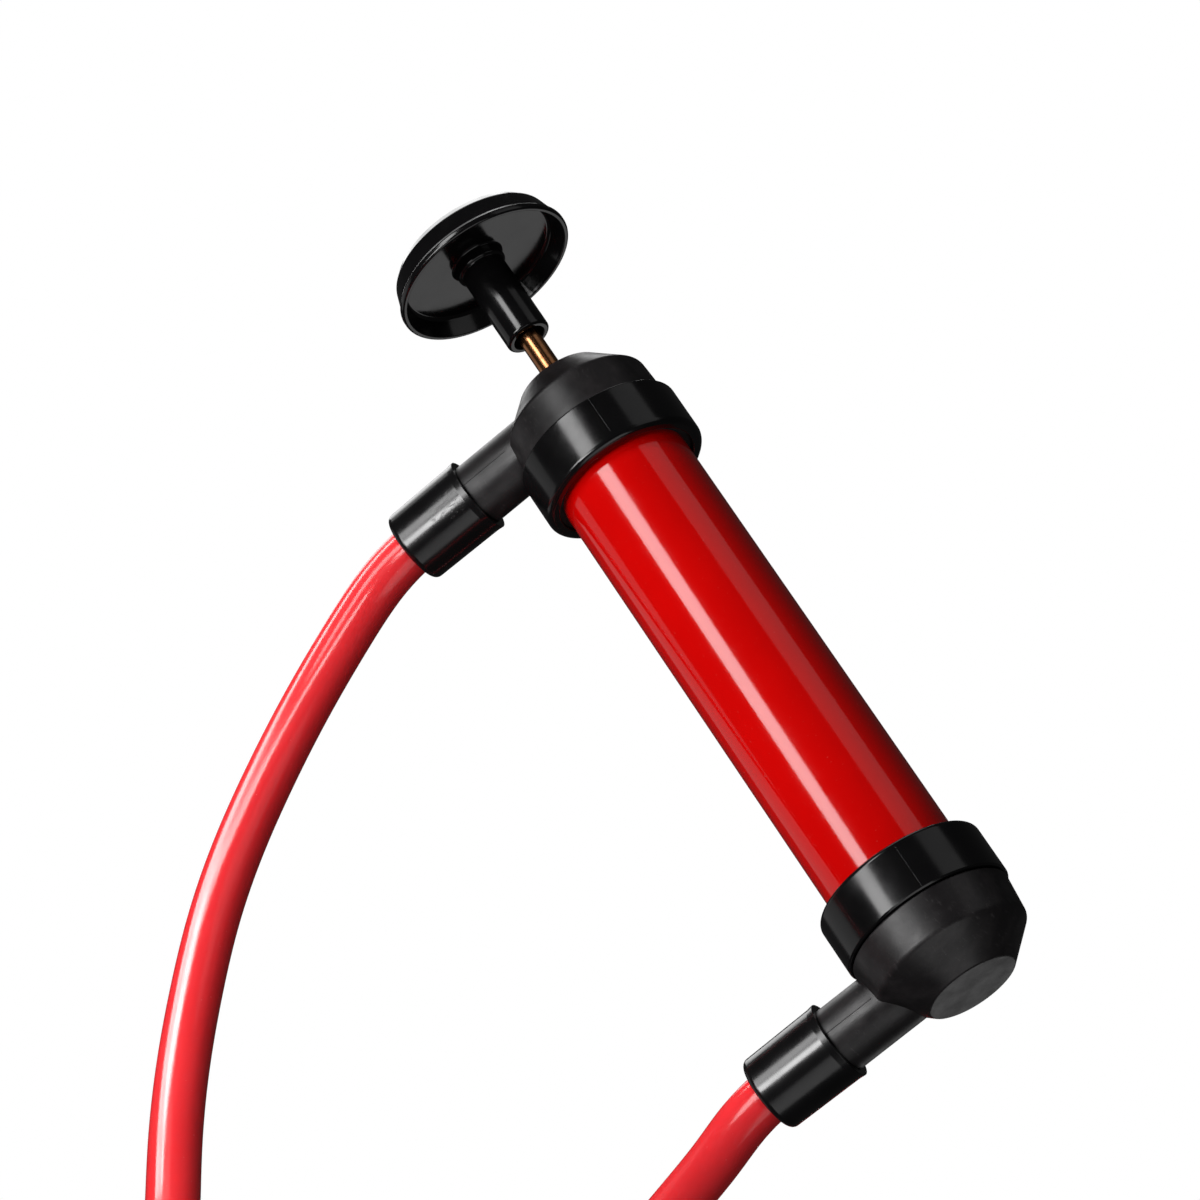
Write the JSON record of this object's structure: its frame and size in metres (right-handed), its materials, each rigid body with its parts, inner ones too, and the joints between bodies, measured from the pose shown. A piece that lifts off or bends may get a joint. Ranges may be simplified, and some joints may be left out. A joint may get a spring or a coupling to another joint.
{
  "type": "ball inflation pump",
  "caption": "Hand inflation pump: tube barrel, screwed end caps, round handle on a plated rod, a hose on a screwed union at each cap and a ball needle on the outlet hose.",
  "frame": {"origin": "centre of the bottom cap's flat face", "axes": "+Z along the barrel towards the handle; both hose ports point along -X"},
  "size_m": [0.3233, 0.4453, 0.2663],
  "materials": {
    "barrel_red": "gloss",
    "cap_black": "satin",
    "collar_black": "gloss",
    "nut_black": "semi-gloss",
    "handle_black": "gloss",
    "hose_red": "semi-gloss flexible vinyl",
    "rod_copper": "polished copper-coloured plating",
    "seal_rubber": "matte",
    "acetal_white": "satin",
    "steel": "satin",
    "brass": "turned",
    "needle_chrome": "polished"
  },
  "bodies": {
    "pump_body": {"barrel_tube": "barrel_red", "bottom_cap": "cap_black", "top_cap": "cap_black", "bottom_collar": "collar_black", "top_collar": "collar_black", "bottom_gasket": "seal_rubber", "top_gasket": "seal_rubber", "bottom_grip_ring": "seal_rubber", "top_grip_ring": "seal_rubber", "inlet_valve_retainer": "acetal_white", "retainer_screws": "steel", "rod_bush": "acetal_white", "rod_seal": "seal_rubber", "gland_nut": "brass"},
    "inlet_valve": {"inlet_valve_disc": "seal_rubber"},
    "piston": {"piston_body": "acetal_white", "piston_seal": "seal_rubber"},
    "piston_valve": {"piston_valve_disc": "seal_rubber"},
    "rod_and_handle": {"piston_rod": "rod_copper", "valve_stop": "brass", "piston_washer": "steel", "piston_nut": "steel", "handle": "handle_black", "handle_nut": "steel", "handle_plug": "handle_black"},
    "upper_union": {"upper_union_washer": "seal_rubber", "upper_hose_tail": "brass", "upper_hose": "hose_red", "needle_adapter": "brass", "ball_needle": "needle_chrome"},
    "upper_nut": {"upper_hose_nut": "nut_black"},
    "lower_union": {"lower_union_washer": "seal_rubber", "lower_hose_tail": "brass", "lower_hose": "hose_red"},
    "lower_nut": {"lower_hose_nut": "nut_black"}
  },
  "joints": [
    {"name": "pump_stroke", "type": "slide", "parent": "pump_body", "child": "piston", "axis": [0, 0, 1], "range_m": [-0.017, 0.128]},
    {"name": "handle_spin", "type": "hinge", "parent": "piston", "child": "rod_and_handle", "pos_m": [0, 0, 0.1], "axis": [0, 0, 1], "continuous": true},
    {"name": "inlet_valve_lift", "type": "slide", "parent": "pump_body", "child": "inlet_valve", "axis": [0, 0, 1], "range_m": [0, 0.0012]},
    {"name": "piston_valve_lift", "type": "slide", "parent": "piston", "child": "piston_valve", "axis": [0, 0, 1], "range_m": [0, 0.0014]},
    {"name": "upper_union_draw", "type": "slide", "parent": "pump_body", "child": "upper_union", "axis": [-1, 0, 0], "range_m": [0, 0.0108]},
    {"name": "upper_nut_turn", "type": "hinge", "parent": "upper_union", "child": "upper_nut", "pos_m": [-0.048, 0, 0.201], "axis": [-1, 0, 0], "range_deg": [0, 1945]},
    {"name": "lower_union_draw", "type": "slide", "parent": "pump_body", "child": "lower_union", "axis": [-1, 0, 0], "range_m": [0, 0.0108]},
    {"name": "lower_nut_turn", "type": "hinge", "parent": "lower_union", "child": "lower_nut", "pos_m": [-0.048, 0, 0.0112], "axis": [-1, 0, 0], "range_deg": [0, 1945]}
  ],
  "couplings": [
    {"joint": "upper_nut_turn", "follows": "upper_union_draw", "rad_per_m": 3141.6},
    {"joint": "lower_nut_turn", "follows": "lower_union_draw", "rad_per_m": 3141.6}
  ]
}
